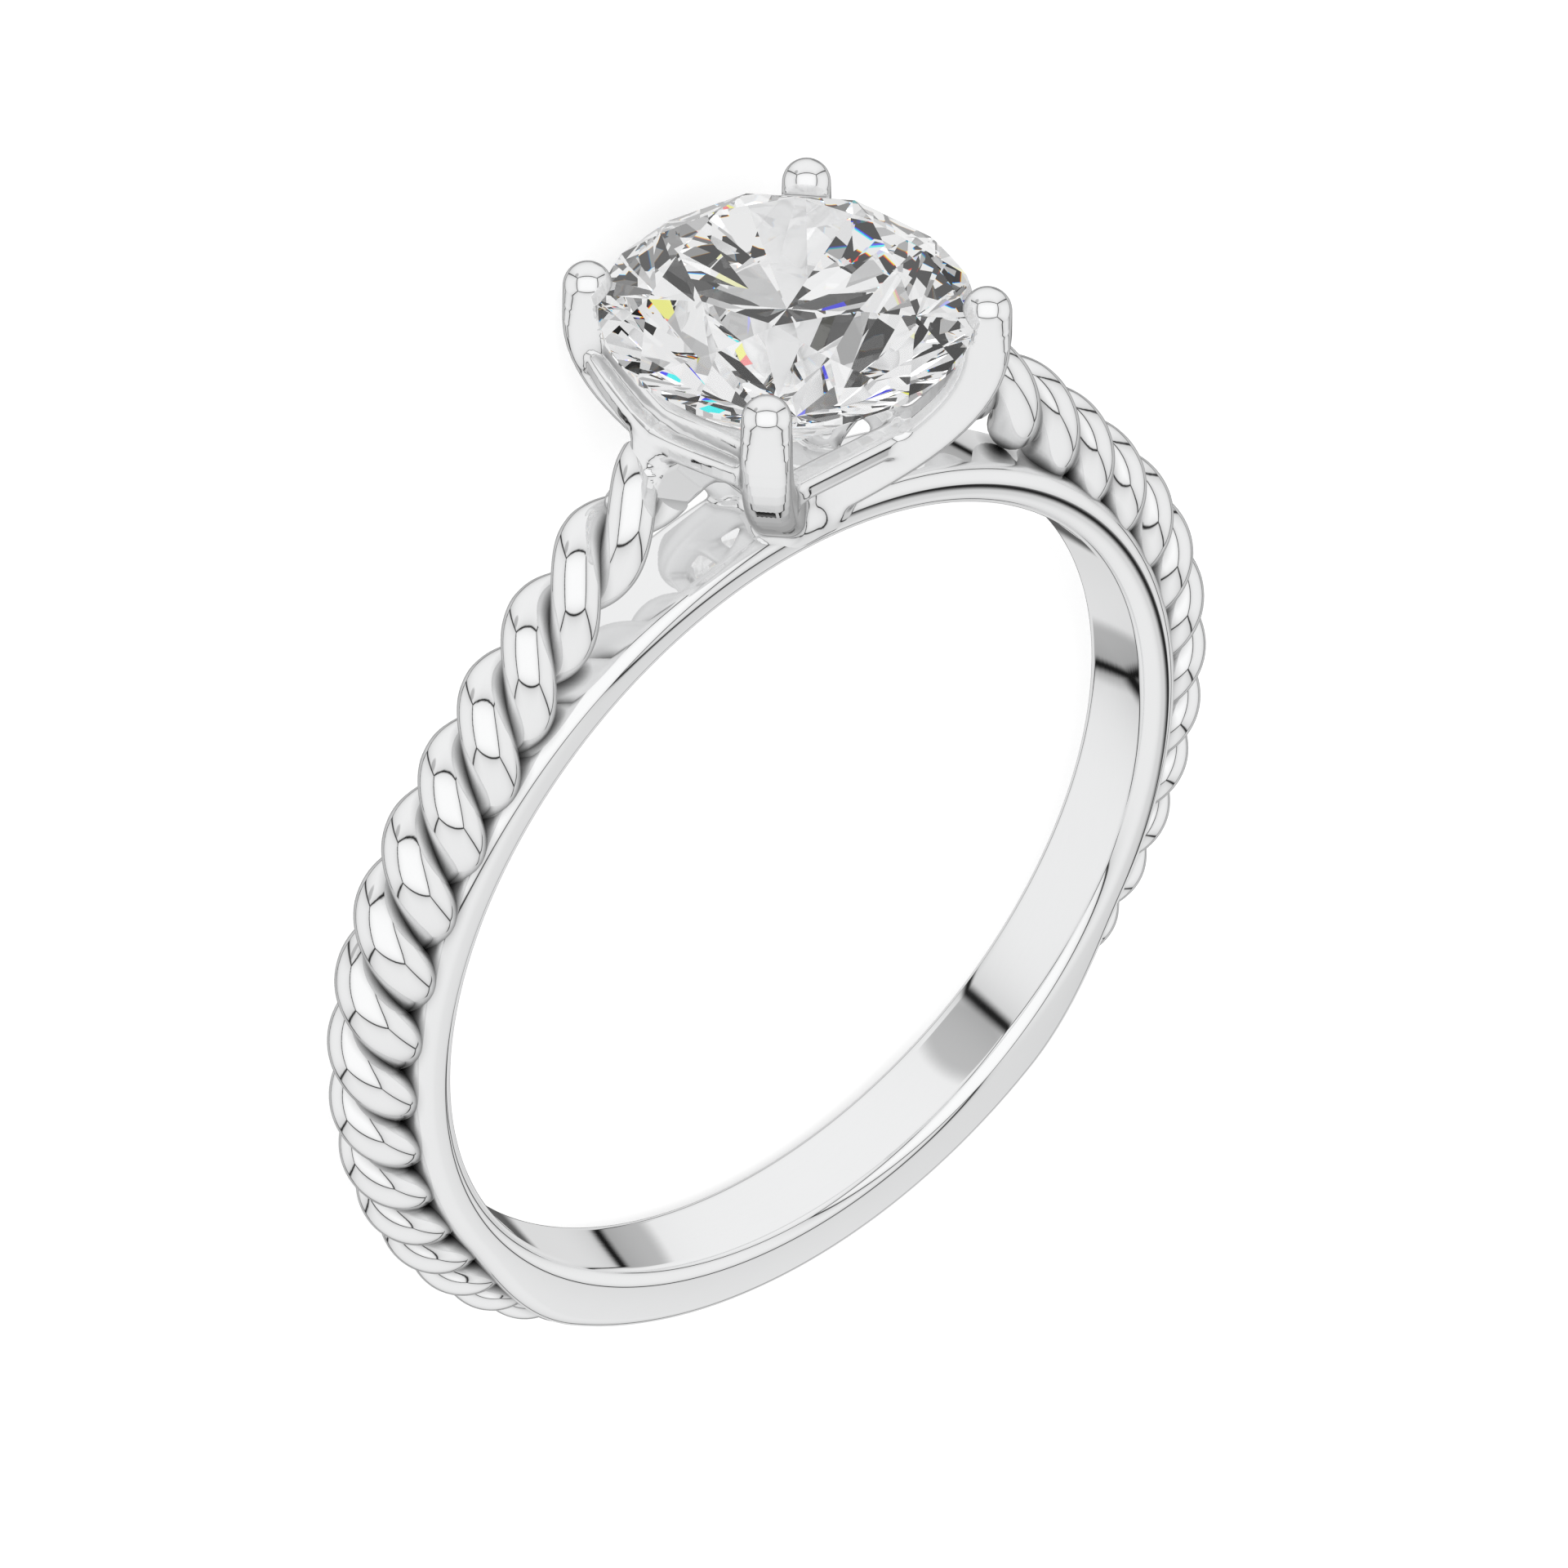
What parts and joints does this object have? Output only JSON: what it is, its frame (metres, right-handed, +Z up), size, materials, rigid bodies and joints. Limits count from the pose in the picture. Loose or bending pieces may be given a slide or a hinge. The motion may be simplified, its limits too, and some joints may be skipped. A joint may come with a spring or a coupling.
{
  "type": "twisted shank ring",
  "caption": "Ring with a round faceted stone in a prong setting, on a thin band whose shoulders carry a rope-like twist that sinks into a plain shank.",
  "frame": {"origin": "centre of the ring's box on the surface that it lies on", "axes": "+Y towards the stone, +Z up along the finger axis but for the lean, +X along the band under the stone"},
  "size_m": [0.0204, 0.0236, 0.0065],
  "materials": {
    "white_metal": "polished white gold",
    "clear_stone": "clear, faceted and polished"
  },
  "bodies": {
    "root": {"ring_mount": "white_metal", "round_stone": "clear_stone"}
  },
  "joints": []
}
